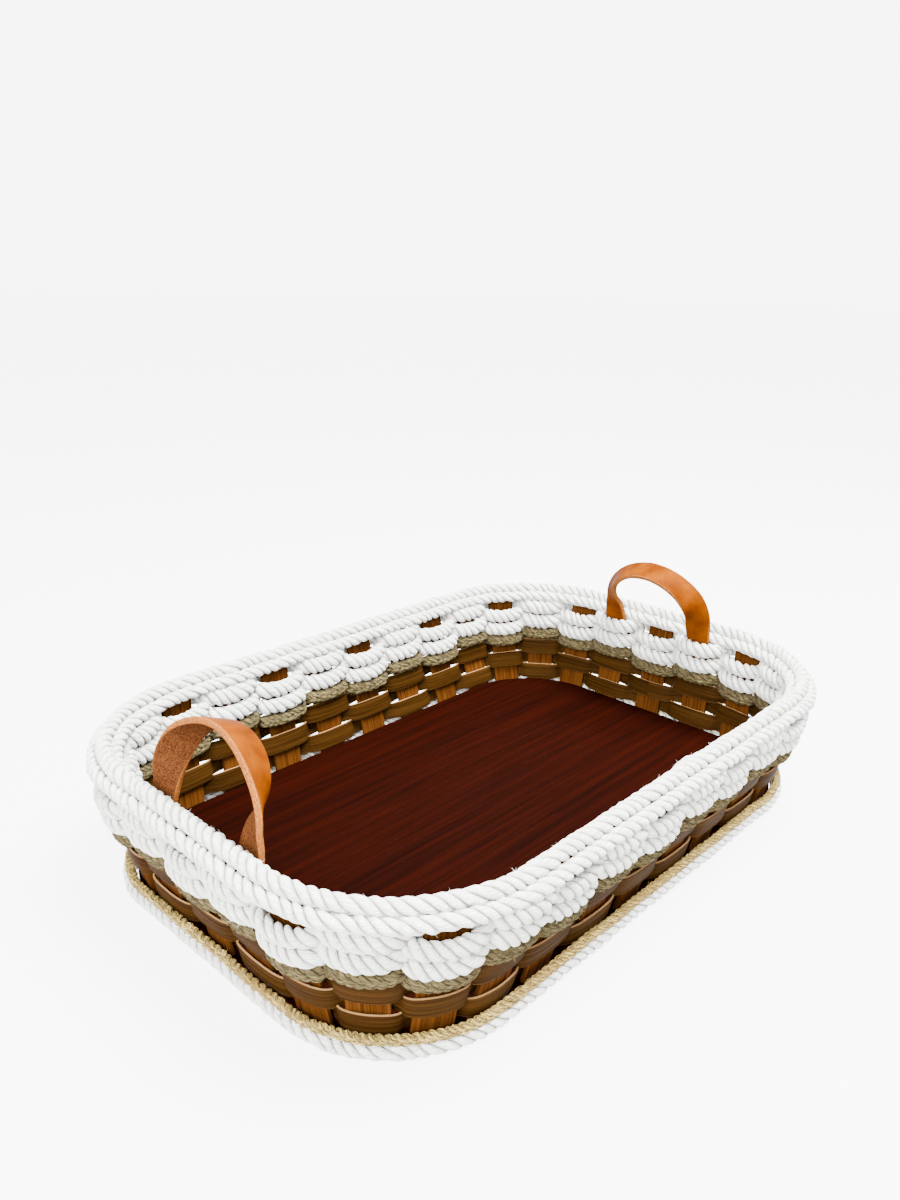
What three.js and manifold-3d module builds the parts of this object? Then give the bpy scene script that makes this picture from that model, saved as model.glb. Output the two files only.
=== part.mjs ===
import * as THREE from 'three';
import { mergeVertices } from 'three/addons/utils/BufferGeometryUtils.js';
import Module from 'manifold-3d';

// A casserole tray basket: flat stakes stand round a wooden base board, and closed rings of reed,
// seagrass and cotton rope are woven over and under them. Three ropes finish the rim, and a
// leather strap makes a handle at each short end. Millimetres, +Z up, long way along X, origin at
// the middle of the underside.

// Wall outline: a rounded rectangle through the middle of the stakes, smaller at the floor
const FOOT_LENGTH = 412;
const FOOT_WIDTH = 267;
const FOOT_CORNER_RADIUS = 66;
const RIM_LENGTH = 440;
const RIM_WIDTH = 303;
const RIM_CORNER_RADIUS = 90;

// Space left between neighbouring pieces, and between two rows where they cross
const GAP = 0.3;
const ROW_GAP = 0.6;

// Stakes: the upright slats. Their number is even, so that a ring that goes over one and under the
// next can close.
const STAKE_COUNT = 34;
const STAKE_WIDTH = 22;
const STAKE_THICKNESS = 3;

// Base board, with a ledge round it that the stakes stand on
const BOARD_THICKNESS = 11;
const BOARD_CHAMFER = 2.5;
const LEDGE_THICKNESS = 5;
const LEDGE_CHAMFER = 0.8;
const CORNER_STEPS = 8;

// Weavers. A rope is flattened into a hump over a stake and squashed where it slips between two.
const COTTON_DIAMETER = 8;
const SEAGRASS_DIAMETER = 6.6;
const FOOT_SEAGRASS_DIAMETER = 5.5;
const HUMP_HEIGHT = 1.25;
const HUMP_DEPTH = 1.02;
const CROSSING_HEIGHT = 0.7;
const CROSSING_DEPTH = 0.72;
const COTTON_STANDOFF = 1.4;
const SEAGRASS_STANDOFF = 1;
const COTTON_DROP = 2.1;
const SEAGRASS_DROP = 1.2;
const REED_WIDTH = 13.4;
const REED_THICKNESS = 1.3;
const REED_CROSSING_WIDTH = 10.7;
const REED_STANDOFF = 0.8;
const REED_TUCK = 2.5;
const REED_ROWS = 3;
const SEAGRASS_ROWS = 2;
const COTTON_ROWS = 4;
const COTTON_SIDES = 6;
const SEAGRASS_SIDES = 5;

// Leather handles
const STRAP_WIDTH = 19;
const STRAP_THICKNESS = 3.75;
const STRAP_CHAMFER = 0.7;
const STRAP_TAIL = 11;
const ARCH_HEIGHT = 39.7;
const ARCH_LEAN = THREE.MathUtils.degToRad(20);
const ARCH_ROUNDNESS = 2.3;
const ARCH_TURN = 0.45;
const ARCH_STEPS = 20;
const END_STEPS = 3;

// Rivets
const RIVET_SHANK = 4;
const RIVET_HEAD = 8;
const RIVET_HEAD_THICKNESS = 0.9;
const RIVET_SIDES = 12;

const wasm = await Module();
wasm.setup();

// Heights, stacked up from the floor
const footCottonZ = GAP + COTTON_DIAMETER / 2;
const footSeagrassZ = footCottonZ + COTTON_DIAMETER / 2 + GAP + FOOT_SEAGRASS_DIAMETER / 2;
const footTop = footSeagrassZ + FOOT_SEAGRASS_DIAMETER / 2;

// The ledge's edge lies as far out as the lowest reed, and the foot's ropes lie against both
const footFace = STAKE_THICKNESS / 2 + GAP + REED_STANDOFF + REED_THICKNESS;

const reed = {
  height: REED_WIDTH,
  depth: REED_THICKNESS,
  crossingHeight: REED_CROSSING_WIDTH,
  crossingDepth: REED_THICKNESS,
  standoff: REED_STANDOFF,
  drop: 0,
  sides: 4,
};
const seagrass = rope(SEAGRASS_DIAMETER, SEAGRASS_STANDOFF, SEAGRASS_DROP, SEAGRASS_SIDES);
const cotton = rope(COTTON_DIAMETER, COTTON_STANDOFF, COTTON_DROP, COTTON_SIDES);

function rope(diameter, standoff, drop, sides) {
  return {
    height: diameter * HUMP_HEIGHT,
    depth: diameter * HUMP_DEPTH,
    crossingHeight: diameter * CROSSING_HEIGHT,
    crossingDepth: diameter * CROSSING_DEPTH,
    standoff,
    drop,
    sides,
  };
}

// The rows, from the bottom. Each goes outside the stakes that the row under it went inside.
const rows = [];
addRows('reed_row', reed, REED_ROWS);
addRows('seagrass_row', seagrass, SEAGRASS_ROWS);
addRows('cotton_row', cotton, COTTON_ROWS);

function addRows(name, weaver, count) {
  for (let i = 1; i <= count; i++) {
    const below = rows[rows.length - 1];
    const crossingZ = below
      ? below.crossingZ + (below.weaver.crossingHeight + weaver.crossingHeight) / 2 + ROW_GAP
      : footTop - REED_TUCK + weaver.height / 2;
    rows.push({
      name: `${name}_${i}`,
      weaver,
      crossingZ,
      humpZ: crossingZ - weaver.drop,
      outsideParity: rows.length % 2,
    });
  }
}

const topRow = rows[rows.length - 1];
const edgeOffset = STAKE_THICKNESS / 2 + GAP + COTTON_DIAMETER / 2;
const rimZ = topRow.humpZ + topRow.weaver.height / 2 + GAP + COTTON_DIAMETER / 2;
const topRopeZ = rimZ + Math.sqrt((COTTON_DIAMETER + GAP) ** 2 - edgeOffset ** 2);
const rimTop = topRopeZ + COTTON_DIAMETER / 2;
const stakeTop = topRopeZ - COTTON_DIAMETER / 2 - GAP;

// Wall outline at a height: half sizes and corner radius run straight from the foot to the rim
function outline(z) {
  const rise = z / rimZ;
  return {
    halfLength: THREE.MathUtils.lerp(FOOT_LENGTH, RIM_LENGTH, rise) / 2,
    halfWidth: THREE.MathUtils.lerp(FOOT_WIDTH, RIM_WIDTH, rise) / 2,
    corner: THREE.MathUtils.lerp(FOOT_CORNER_RADIUS, RIM_CORNER_RADIUS, rise),
  };
}

// A quarter of the way round is half of an end, a corner and half of a long side. Places are
// even along the rim, and each keeps its direction down to the floor, where corners draw in.
const rim = outline(rimZ);
const endRun = rim.halfWidth - rim.corner;
const cornerRun = rim.corner * Math.PI / 2;
const sideRun = rim.halfLength - rim.corner;
const quarterRun = endRun + cornerRun + sideRun;

// The place at a share of the way round, from the middle of the +X end, anticlockwise
function wallPlace(share, z) {
  const turn = ((share % 1) + 1) % 1 * 4;
  const quarter = Math.floor(turn);
  const within = quarter % 2 === 0 ? turn - quarter : 1 - (turn - quarter);
  const { halfLength, halfWidth, corner } = outline(z);
  const run = within * quarterRun;
  const angle = THREE.MathUtils.clamp((run - endRun) / cornerRun, 0, 1) * Math.PI / 2;
  const alongEnd = THREE.MathUtils.clamp(run / endRun, 0, 1);
  const alongSide = THREE.MathUtils.clamp((run - endRun - cornerRun) / sideRun, 0, 1);
  const mirrorX = quarter === 1 || quarter === 2 ? -1 : 1;
  const mirrorY = quarter === 2 || quarter === 3 ? -1 : 1;
  const x = (halfLength - corner) * (1 - alongSide) + corner * Math.cos(angle);
  const y = (halfWidth - corner) * alongEnd + corner * Math.sin(angle);
  const normal = new THREE.Vector3(mirrorX * Math.cos(angle), mirrorY * Math.sin(angle), 0);
  return {
    point: new THREE.Vector3(mirrorX * x, mirrorY * y, z),
    normal,
    along: new THREE.Vector3(-normal.y, normal.x, 0),
  };
}

// The stakes that the handles are fixed to: the neighbours of each end's middle one
const footStakes = [1, STAKE_COUNT / 2 - 1, STAKE_COUNT / 2 + 1, STAKE_COUNT - 1];

// A stake's place also has the direction in which the stake leans up
function stakePlace(index, z) {
  const place = wallPlace(index / STAKE_COUNT, z);
  const top = wallPlace(index / STAKE_COUNT, rimZ).point;
  return { ...place, up: top.sub(wallPlace(index / STAKE_COUNT, 0).point).normalize() };
}

// The piece's faces point outwards once its signed volume is positive
function solid(sections, closed) {
  const count = sections[0].length;
  const positions = sections.flat().flatMap((p) => [p.x, p.y, p.z]);
  const index = [];
  const spans = closed ? sections.length : sections.length - 1;
  for (let i = 0; i < spans; i++) {
    const j = (i + 1) % sections.length;
    for (let a = 0; a < count; a++) {
      const b = (a + 1) % count;
      index.push(i * count + a, j * count + a, j * count + b);
      index.push(i * count + a, j * count + b, i * count + b);
    }
  }
  if (!closed) {
    const last = (sections.length - 1) * count;
    for (let a = 1; a < count - 1; a++) {
      index.push(0, a, a + 1);
      index.push(last, last + a + 1, last + a);
    }
  }
  const geometry = new THREE.BufferGeometry();
  geometry.setAttribute('position', new THREE.Float32BufferAttribute(positions, 3));
  geometry.setIndex(volume(positions, index) < 0 ? index.reverse() : index);
  geometry.computeVertexNormals();
  return geometry;
}

function volume(positions, index) {
  const corner = (i) => new THREE.Vector3().fromArray(positions, 3 * i);
  let sum = 0;
  for (let i = 0; i < index.length; i += 3) {
    sum += corner(index[i]).dot(corner(index[i + 1]).cross(corner(index[i + 2])));
  }
  return sum / 6;
}

// A rope's section has its corners on an ellipse, and a flat weaver's is a rectangle
function weaverSection(centre, across, up, depth, height, sides) {
  const stretch = sides === 4 ? Math.SQRT1_2 : 0.5;
  const start = sides === 4 ? Math.PI / 4 : 0;
  return Array.from({ length: sides }, (_, i) => {
    const angle = start + i * 2 * Math.PI / sides;
    return centre.clone()
      .addScaledVector(across, depth * stretch * Math.cos(angle))
      .addScaledVector(up, height * stretch * Math.sin(angle));
  });
}

// Horizontal direction square to a path at one of its points, halfway between its two runs
function acrossPath(before, here, after) {
  const towards = here.clone().sub(before).setZ(0).normalize();
  const away = after.clone().sub(here).setZ(0).normalize();
  const along = towards.add(away).normalize();
  return new THREE.Vector3(along.y, -along.x, 0);
}

function baseBoard() {
  const inset = STAKE_THICKNESS / 2 + GAP;
  const levels = [
    [0, LEDGE_CHAMFER - footFace],
    [LEDGE_CHAMFER, -footFace],
    [LEDGE_THICKNESS, -footFace],
    [LEDGE_THICKNESS, inset],
    [BOARD_THICKNESS - BOARD_CHAMFER, inset],
    [BOARD_THICKNESS, inset + BOARD_CHAMFER],
  ];
  return solid(levels.map(([z, inwards]) => boardOutline(z, inwards)), false);
}

function boardOutline(z, inwards) {
  const { halfLength, halfWidth, corner } = outline(z);
  const points = [];
  for (let quarter = 0; quarter < 4; quarter++) {
    const signX = quarter === 0 || quarter === 3 ? 1 : -1;
    const signY = quarter < 2 ? 1 : -1;
    for (let i = 0; i <= CORNER_STEPS; i++) {
      const angle = (quarter + i / CORNER_STEPS) * Math.PI / 2;
      const radius = corner - inwards;
      points.push(new THREE.Vector3(
        signX * (halfLength - corner) + radius * Math.cos(angle),
        signY * (halfWidth - corner) + radius * Math.sin(angle),
        z,
      ));
    }
  }
  return points;
}

// A stake is a flat slat that leans with the wall
function stake(index) {
  const sections = [LEDGE_THICKNESS + GAP, stakeTop].map((z) => {
    const { point, normal, along } = stakePlace(index, z);
    const corners = [[-1, -1], [1, -1], [1, 1], [-1, 1]];
    return corners.map(([side, face]) => point.clone()
      .addScaledVector(along, side * STAKE_WIDTH / 2)
      .addScaledVector(normal, face * STAKE_THICKNESS / 2));
  });
  return solid(sections, false);
}

// The strap's middle line below the hinge, as its X and Y at a height. It lies against its stake
// up to the rivet, then leans in past the inner rim rope. The rivet is level with the highest
// cotton row that passes outside the strap's stake, with a row over the leather on either side.
const strapY = (z) => stakePlace(footStakes[0], Math.min(z, rimZ)).point.y;
const strapParity = (end) => (end > 0 ? footStakes[0] : footStakes[1]) % 2;
const rivetZ = (end) => rows.slice(0, -1)
  .filter(({ outsideParity }) => outsideParity === strapParity(end)).pop().humpZ;
const strapBend = (end) => rivetZ(end) + RIVET_HEAD / 2;
const hingeZ = rimTop + GAP + STRAP_THICKNESS / 2;
const strapRimX = outline(rimZ).halfLength - edgeOffset - COTTON_DIAMETER / 2 - GAP
  - STRAP_THICKNESS / 2 / Math.cos(ARCH_LEAN);
const hingeX = strapRimX - (hingeZ - rimZ) * Math.tan(ARCH_LEAN);

const strapOnStakeX = (z) => outline(z).halfLength - STAKE_THICKNESS / 2 - GAP - STRAP_THICKNESS / 2;

function strapX(z, end) {
  const bend = strapBend(end);
  if (z <= bend) return strapOnStakeX(z);
  if (z >= rimZ) return strapRimX - (z - rimZ) * Math.tan(ARCH_LEAN);
  return THREE.MathUtils.mapLinear(z, bend, rimZ, strapOnStakeX(bend), strapRimX);
}

// How far in from the wall a weaver lies on a stake that carries a strap: clear of the rivet's
// head and of the leather over the weaver's whole height
function offsetOverStrap(weaver, z, end) {
  const samples = 12;
  let offset = plainOffset(weaver);
  for (let i = 0; i <= samples; i++) {
    const height = Math.cos(Math.PI * i / samples);
    const level = z + height * weaver.height / 2;
    if (level < rivetZ(end) - STRAP_TAIL - GAP) continue;
    const face = outline(level).halfLength - strapX(level, end)
      + STRAP_THICKNESS / 2 / Math.cos(ARCH_LEAN) + RIVET_HEAD_THICKNESS;
    const reach = weaver.depth / 2 * Math.sqrt(1 - height ** 2);
    offset = Math.max(offset, face + GAP + reach);
  }
  return offset;
}

const plainOffset = (weaver) => STAKE_THICKNESS / 2 + GAP + weaver.depth / 2 + weaver.standoff;

// One closed ring: straight over each stake's face, and through the space to its other side
function wovenRow({ weaver, crossingZ, humpZ, outsideParity }) {
  const stations = [];
  for (let index = 0; index < STAKE_COUNT; index++) {
    const outside = index % 2 === outsideParity;
    const onStrap = !outside && footStakes.includes(index);
    const { point, normal, along, up } = stakePlace(index, humpZ);
    const offset = outside ? plainOffset(weaver)
      : -(onStrap ? offsetOverStrap(weaver, humpZ, Math.sign(point.x)) : plainOffset(weaver));
    const reach = (onStrap ? Math.max(STAKE_WIDTH, STRAP_WIDTH) : STAKE_WIDTH) / 2;
    for (const side of [-1, 1]) {
      stations.push({
        point: point.clone().addScaledVector(normal, offset).addScaledVector(along, side * reach),
        up,
        depth: weaver.depth,
        height: weaver.height,
      });
    }
    const between = stakePlace(index + 0.5, crossingZ);
    stations.push({
      point: between.point,
      up: between.up,
      depth: weaver.crossingDepth,
      height: weaver.crossingHeight,
    });
  }
  return ring(stations, weaver.sides);
}

// A closed tube through its stations, each with its own depth, height and upward direction
function ring(stations, sides) {
  const sections = stations.map(({ point, up, depth, height }, i) => {
    const before = stations[(i + stations.length - 1) % stations.length].point;
    const after = stations[(i + 1) % stations.length].point;
    return weaverSection(point, acrossPath(before, point, after), up, depth, height, sides);
  });
  return solid(sections, true);
}

// A rope that runs along the stakes without weaving
function edgeRope(offset, z, diameter) {
  const up = new THREE.Vector3(0, 0, 1);
  const size = { up, depth: diameter, height: diameter };
  return ring(edgePath(offset, z).map((point) => ({ point, ...size })), COTTON_SIDES);
}

const footRope = (z, diameter) => edgeRope(footFace + GAP + diameter / 2, z, diameter);

// It is parallel to each stake, so it turns at both edges of each one that stands in a corner,
// and at the edge towards the corner of the last one before it. Above the rim's pair of ropes it
// lies straight over the wall there.
function edgePath(offset, z) {
  const wallZ = Math.min(z, rimZ);
  const places = Array.from({ length: STAKE_COUNT }, (_, index) => stakePlace(index, wallZ));
  const inCorner = ({ normal }) => Math.abs(normal.x * normal.y) > 1e-6;
  return places.flatMap((place, index) => {
    const neighbour = (side) => places[(index + side + STAKE_COUNT) % STAKE_COUNT];
    const turns = [-1, 1].filter((side) => inCorner(place) || inCorner(neighbour(side)));
    return turns.map((side) => place.point.clone().setZ(z)
      .addScaledVector(place.normal, offset)
      .addScaledVector(place.along, side * STAKE_WIDTH / 2));
  });
}

// A strap's section: a rectangle with its long edges taken off
function strapSection(centre, across, face, width, thickness) {
  const w = width / 2;
  const t = thickness / 2;
  const c = Math.min(STRAP_CHAMFER, t / 2);
  const corners = [
    [w, -t + c], [w, t - c], [w - c, t], [-w + c, t],
    [-w, t - c], [-w, -t + c], [-w + c, -t], [w - c, -t],
  ];
  return corners.map(([a, b]) => centre.clone().addScaledVector(across, a).addScaledVector(face, b));
}

// The moving part of a handle: an arch in a plane that leans in, whose leather turns from flat
// against the wall at each foot to flat on top. Its rounded ends turn about the hinge line.
function strapLoop(end) {
  const up = new THREE.Vector3(-end * Math.sin(ARCH_LEAN), 0, Math.cos(ARCH_LEAN));
  const out = new THREE.Vector3(end * Math.cos(ARCH_LEAN), 0, Math.sin(ARCH_LEAN));
  const place = (t) => new THREE.Vector3(end * hingeX, 0, hingeZ)
    .addScaledVector(up, ARCH_HEIGHT * Math.sin(t) ** (2 / ARCH_ROUNDNESS))
    .setY(strapY(hingeZ) * Math.sign(Math.cos(t)) * Math.abs(Math.cos(t)) ** (2 / ARCH_ROUNDNESS));
  const middles = Array.from({ length: ARCH_STEPS + 1 }, (_, i) => place(Math.PI * i / ARCH_STEPS));
  const sections = middles.map((point, i) => {
    const along = i === 0 ? up.clone()
      : i === ARCH_STEPS ? up.clone().negate()
        : middles[i + 1].clone().sub(middles[i - 1]).normalize();
    const rise = Math.min(i, ARCH_STEPS - i) / (ARCH_STEPS / 2);
    const turn = Math.PI / 2 * (1 - THREE.MathUtils.smoothstep(rise, 0, ARCH_TURN));
    const grain = along.clone().cross(out).normalize().multiplyScalar(end);
    const across = out.clone().multiplyScalar(Math.cos(turn)).addScaledVector(grain, Math.sin(turn));
    const face = grain.clone().multiplyScalar(Math.cos(turn)).addScaledVector(out, -Math.sin(turn));
    return strapSection(point, across, face, STRAP_WIDTH, STRAP_THICKNESS);
  });
  const roundEnd = (point) => Array.from({ length: END_STEPS }, (_, i) => {
    const angle = Math.PI / 2 * (i + 1) / (END_STEPS + 0.4);
    const centre = point.clone().addScaledVector(up, -STRAP_THICKNESS / 2 * Math.sin(angle));
    const across = new THREE.Vector3(0, Math.sign(point.y), 0);
    return strapSection(centre, across, out.clone().negate(), STRAP_WIDTH,
      STRAP_THICKNESS * Math.cos(angle));
  });
  return solid([
    ...roundEnd(middles[0]).reverse(),
    ...sections,
    ...roundEnd(middles[ARCH_STEPS]),
  ], false);
}

// The fixed part of a handle: from just under the hinge line down to its end below the rivet
function strapFoot(end, side) {
  const bottom = rivetZ(end) - STRAP_TAIL;
  const top = hingeZ - (GAP + STRAP_THICKNESS / 2) * Math.cos(ARCH_LEAN);
  const heights = [
    bottom,
    bottom + STRAP_WIDTH / 6,
    rivetZ(end) + RIVET_HEAD / 4,
    strapBend(end),
    (strapBend(end) + rimZ) / 2,
    rimZ,
    top,
  ];
  const across = new THREE.Vector3(0, 1, 0);
  const sections = heights.map((z, i) => {
    const below = heights[Math.max(i - 1, 0)];
    const above = heights[Math.min(i + 1, heights.length - 1)];
    const slope = new THREE.Vector3(strapX(above, end) - strapX(below, end), 0, above - below)
      .normalize();
    const face = new THREE.Vector3(end * slope.z, 0, -slope.x);
    const centre = new THREE.Vector3(end * strapX(z, end), side * strapY(z), z);
    const width = i === 0 ? STRAP_WIDTH * 2 / 3 : STRAP_WIDTH;
    return strapSection(centre, across, face, width, STRAP_THICKNESS);
  });
  return solid(sections, false);
}

// Rivet axis: square to the stake, through the stake and the tail
const wallLean = Math.atan((RIM_LENGTH - FOOT_LENGTH) / 2 / rimZ);

function placeOnRivet(geometry, end, side) {
  geometry.rotateZ(-Math.PI / 2);
  geometry.rotateY(wallLean);
  geometry.translate(outline(rivetZ(end)).halfLength, 0, rivetZ(end));
  if (end < 0) geometry.rotateZ(Math.PI);
  geometry.translate(0, side * strapY(rivetZ(end)), 0);
  return geometry;
}

// The inner head is set on the leather, and the outer head lies on the far face of the stake
function rivet(end, side) {
  const outer = STAKE_THICKNESS / 2 + GAP;
  const inner = -(STAKE_THICKNESS / 2 + GAP + STRAP_THICKNESS);
  const shank = RIVET_SHANK / 2;
  const head = RIVET_HEAD / 2;
  const profile = [
    [0, inner - RIVET_HEAD_THICKNESS],
    [head * 0.7, inner - RIVET_HEAD_THICKNESS],
    [head, inner],
    [shank, inner],
    [shank, outer],
    [head, outer],
    [head * 0.7, outer + RIVET_HEAD_THICKNESS],
    [0, outer + RIVET_HEAD_THICKNESS],
  ].map(([r, y]) => new THREE.Vector2(r, y));
  return placeOnRivet(bare(new THREE.LatheGeometry(profile, RIVET_SIDES)), end, side);
}

// Only positions, with shared corners merged
function bare(geometry) {
  geometry.deleteAttribute('normal');
  geometry.deleteAttribute('uv');
  return mergeVertices(geometry, 1e-4);
}

function manifold(geometry) {
  return new wasm.Manifold(new wasm.Mesh({
    numProp: 3,
    vertProperties: new Float32Array(geometry.attributes.position.array),
    triVerts: new Uint32Array(geometry.index.array),
  }));
}

function fromManifold(body) {
  const { vertProperties, triVerts } = body.getMesh();
  const result = new THREE.BufferGeometry();
  result.setAttribute('position', new THREE.BufferAttribute(vertProperties, 3));
  result.setIndex(new THREE.BufferAttribute(triVerts, 1));
  result.computeVertexNormals();
  return result;
}

// The hole in a stake that a rivet's shank passes through
function drilled(geometry, end, side) {
  const reach = 4 * STAKE_THICKNESS;
  const radius = RIVET_SHANK / 2 + GAP;
  const cylinder = bare(new THREE.CylinderGeometry(radius, radius, reach, RIVET_SIDES));
  return fromManifold(manifold(geometry).subtract(manifold(placeOnRivet(cylinder, end, side))));
}

function rivetedFoot(end, side) {
  return fromManifold(manifold(strapFoot(end, side)).add(manifold(rivet(end, side))));
}

const looks = {
  stake: { color: 0x8c4a20, roughness: 0.55 },
  board: { color: 0x4a2a18, roughness: 0.5 },
  reed: { color: 0x785434, roughness: 0.5 },
  seagrass: { color: 0xb79a66, roughness: 0.85 },
  cotton: { color: 0xf1eee6, roughness: 0.95 },
  leather: { color: 0xc7782c, roughness: 0.4 },
};

const basket = new THREE.Group();

function add(parent, name, geometry, look) {
  const mesh = new THREE.Mesh(geometry, new THREE.MeshStandardMaterial(look));
  mesh.name = name;
  parent.add(mesh);
}

const frame = new THREE.Group();
add(frame, 'base_board', baseBoard(), looks.board);
for (let index = 0; index < STAKE_COUNT; index++) {
  const holds = footStakes.indexOf(index);
  const end = index < STAKE_COUNT / 4 || index > 3 * STAKE_COUNT / 4 ? 1 : -1;
  const side = index < STAKE_COUNT / 2 ? 1 : -1;
  const geometry = holds < 0 ? stake(index) : drilled(stake(index), end, side);
  add(frame, `stake_${String(index + 1).padStart(2, '0')}`, geometry, looks.stake);
}
basket.add(frame);

const weave = new THREE.Group();
for (const row of rows) {
  const look = row.weaver === reed ? looks.reed : row.weaver === seagrass ? looks.seagrass : looks.cotton;
  add(weave, row.name, wovenRow(row), look);
}
add(weave, 'foot_cotton_rope', footRope(footCottonZ, COTTON_DIAMETER), looks.cotton);
add(weave, 'foot_seagrass_rope', footRope(footSeagrassZ, FOOT_SEAGRASS_DIAMETER), looks.seagrass);
add(weave, 'rim_rope_outer', edgeRope(edgeOffset, rimZ, COTTON_DIAMETER), looks.cotton);
add(weave, 'rim_rope_inner', edgeRope(-edgeOffset, rimZ, COTTON_DIAMETER), looks.cotton);
add(weave, 'rim_rope_top', edgeRope(0, topRopeZ, COTTON_DIAMETER), looks.cotton);
basket.add(weave);

for (const [name, end] of [['right', 1], ['left', -1]]) {
  const handle = new THREE.Group();
  add(handle, `${name}_handle_loop`, strapLoop(end), looks.leather);
  add(handle, `${name}_handle_back_foot`, rivetedFoot(end, 1), looks.leather);
  add(handle, `${name}_handle_front_foot`, rivetedFoot(end, -1), looks.leather);
  basket.add(handle);
}

export default basket;
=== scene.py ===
# %% [markdown]
# # A casserole tray basket, dressed
#
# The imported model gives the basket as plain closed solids. This script puts the real surfaces
# round them: ropes of twisted strands, reeds with their grain, rounded wooden slats and one long
# piece of leather for each handle. Every surface is worked out with numpy as a grid of points.

# %% Load the frame
import math

import bpy
import numpy as np
from mathutils import Matrix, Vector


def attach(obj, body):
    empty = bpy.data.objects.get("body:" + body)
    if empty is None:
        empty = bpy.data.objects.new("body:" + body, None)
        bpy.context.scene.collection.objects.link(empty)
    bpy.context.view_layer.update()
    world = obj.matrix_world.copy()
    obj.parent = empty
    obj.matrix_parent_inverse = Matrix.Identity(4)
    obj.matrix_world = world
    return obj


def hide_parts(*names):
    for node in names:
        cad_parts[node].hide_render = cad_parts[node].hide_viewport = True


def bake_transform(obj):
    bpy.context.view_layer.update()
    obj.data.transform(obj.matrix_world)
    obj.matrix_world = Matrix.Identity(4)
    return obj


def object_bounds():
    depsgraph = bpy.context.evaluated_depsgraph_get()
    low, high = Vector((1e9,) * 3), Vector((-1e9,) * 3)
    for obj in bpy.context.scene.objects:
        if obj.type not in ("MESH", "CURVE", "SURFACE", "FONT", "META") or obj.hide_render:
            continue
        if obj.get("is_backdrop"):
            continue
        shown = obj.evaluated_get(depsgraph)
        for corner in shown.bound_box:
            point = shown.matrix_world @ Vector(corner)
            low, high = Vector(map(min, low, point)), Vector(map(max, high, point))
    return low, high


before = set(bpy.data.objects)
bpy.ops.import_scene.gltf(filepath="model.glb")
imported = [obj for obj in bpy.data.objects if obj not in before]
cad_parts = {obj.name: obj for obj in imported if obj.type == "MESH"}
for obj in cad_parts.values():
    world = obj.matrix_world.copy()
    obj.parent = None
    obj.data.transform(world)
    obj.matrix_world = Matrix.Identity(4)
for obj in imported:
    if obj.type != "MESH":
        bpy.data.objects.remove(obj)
cad_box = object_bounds()

# %% [markdown]
# ## Sizes
#
# The sizes are the ones that the solids were made from, in millimetres, so each new surface lies
# where its solid is. Meshes are written in metres, which is Blender's own unit.

# %% Sizes of the wall and of its pieces
MM = 0.001

FOOT_LENGTH = 412
FOOT_WIDTH = 267
FOOT_CORNER_RADIUS = 66
RIM_LENGTH = 440
RIM_WIDTH = 303
RIM_CORNER_RADIUS = 90
RIM_Z = 85.87

GAP = 0.3
STAKE_COUNT = 34
STAKE_WIDTH = 22
STAKE_THICKNESS = 3
STAKE_TOP = 87.5
LEDGE_THICKNESS = 5
BOARD_THICKNESS = 11
COTTON_DIAMETER = 8
FOOT_SEAGRASS_DIAMETER = 5.5
REED_WIDTH = 13.4
REED_CROSSING_WIDTH = 12.4
REED_THICKNESS = 1.3
EDGE_OFFSET = STAKE_THICKNESS / 2 + GAP + COTTON_DIAMETER / 2
FOOT_FACE = 3.9

# %% [markdown]
# ## The wall as a function
#
# Everything in the basket is placed by two numbers: the share of the way round the wall, counted
# anticlockwise from the middle of the +X end, and the height. The wall is a rounded rectangle that
# grows from the foot to the rim. Shares are even along the rim, so stakes are evenly spaced there.
# Guide curves could hold such places too, but a function gives thousands of them exactly, at once.

# %% Outline and places on the wall
FOOT = (FOOT_LENGTH / 2, FOOT_WIDTH / 2, FOOT_CORNER_RADIUS)
RIM = (RIM_LENGTH / 2, RIM_WIDTH / 2, RIM_CORNER_RADIUS)


def outline(z):
    """Half length, half width and corner radius at height z, each straight from foot to rim."""
    return [foot + (rim - foot) * (z / RIM_Z) for foot, rim in zip(FOOT, RIM)]


END_RUN = RIM_WIDTH / 2 - RIM_CORNER_RADIUS
CORNER_RUN = RIM_CORNER_RADIUS * math.pi / 2
SIDE_RUN = RIM_LENGTH / 2 - RIM_CORNER_RADIUS
QUARTER_RUN = END_RUN + CORNER_RUN + SIDE_RUN


def wall_place(share, z):
    """Points of the wall and the directions out of it.

    A share is folded into one quarter of the way round: half of an end, a corner, half of a side.
    Within it the point is (L - c)(1 - side) + c cos a along X and (W - c) end + c sin a along Y,
    where end, a and side run one after another as the share grows. Signs unfold the quarter again.
    """
    share, z = np.broadcast_arrays(np.asarray(share, float), np.asarray(z, float))
    turn = np.mod(share, 1) * 4
    quarter = np.floor(turn).astype(int) % 4
    within = np.where(quarter % 2 == 0, turn - quarter, 1 - (turn - quarter))
    half_length, half_width, corner = outline(z)
    run = within * QUARTER_RUN
    angle = np.clip((run - END_RUN) / CORNER_RUN, 0, 1) * math.pi / 2
    along_end = np.clip(run / END_RUN, 0, 1)
    along_side = np.clip((run - END_RUN - CORNER_RUN) / SIDE_RUN, 0, 1)
    sign_x = np.where((quarter == 1) | (quarter == 2), -1, 1)
    sign_y = np.where(quarter >= 2, -1, 1)
    x = sign_x * ((half_length - corner) * (1 - along_side) + corner * np.cos(angle))
    y = sign_y * ((half_width - corner) * along_end + corner * np.sin(angle))
    point = np.stack([x, y, z], -1)
    normal = np.stack([sign_x * np.cos(angle), sign_y * np.sin(angle), np.zeros_like(x)], -1)
    return point, normal


def unit(vectors):
    """Each vector divided by its length."""
    return vectors / np.linalg.norm(vectors, axis=-1, keepdims=True)


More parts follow.
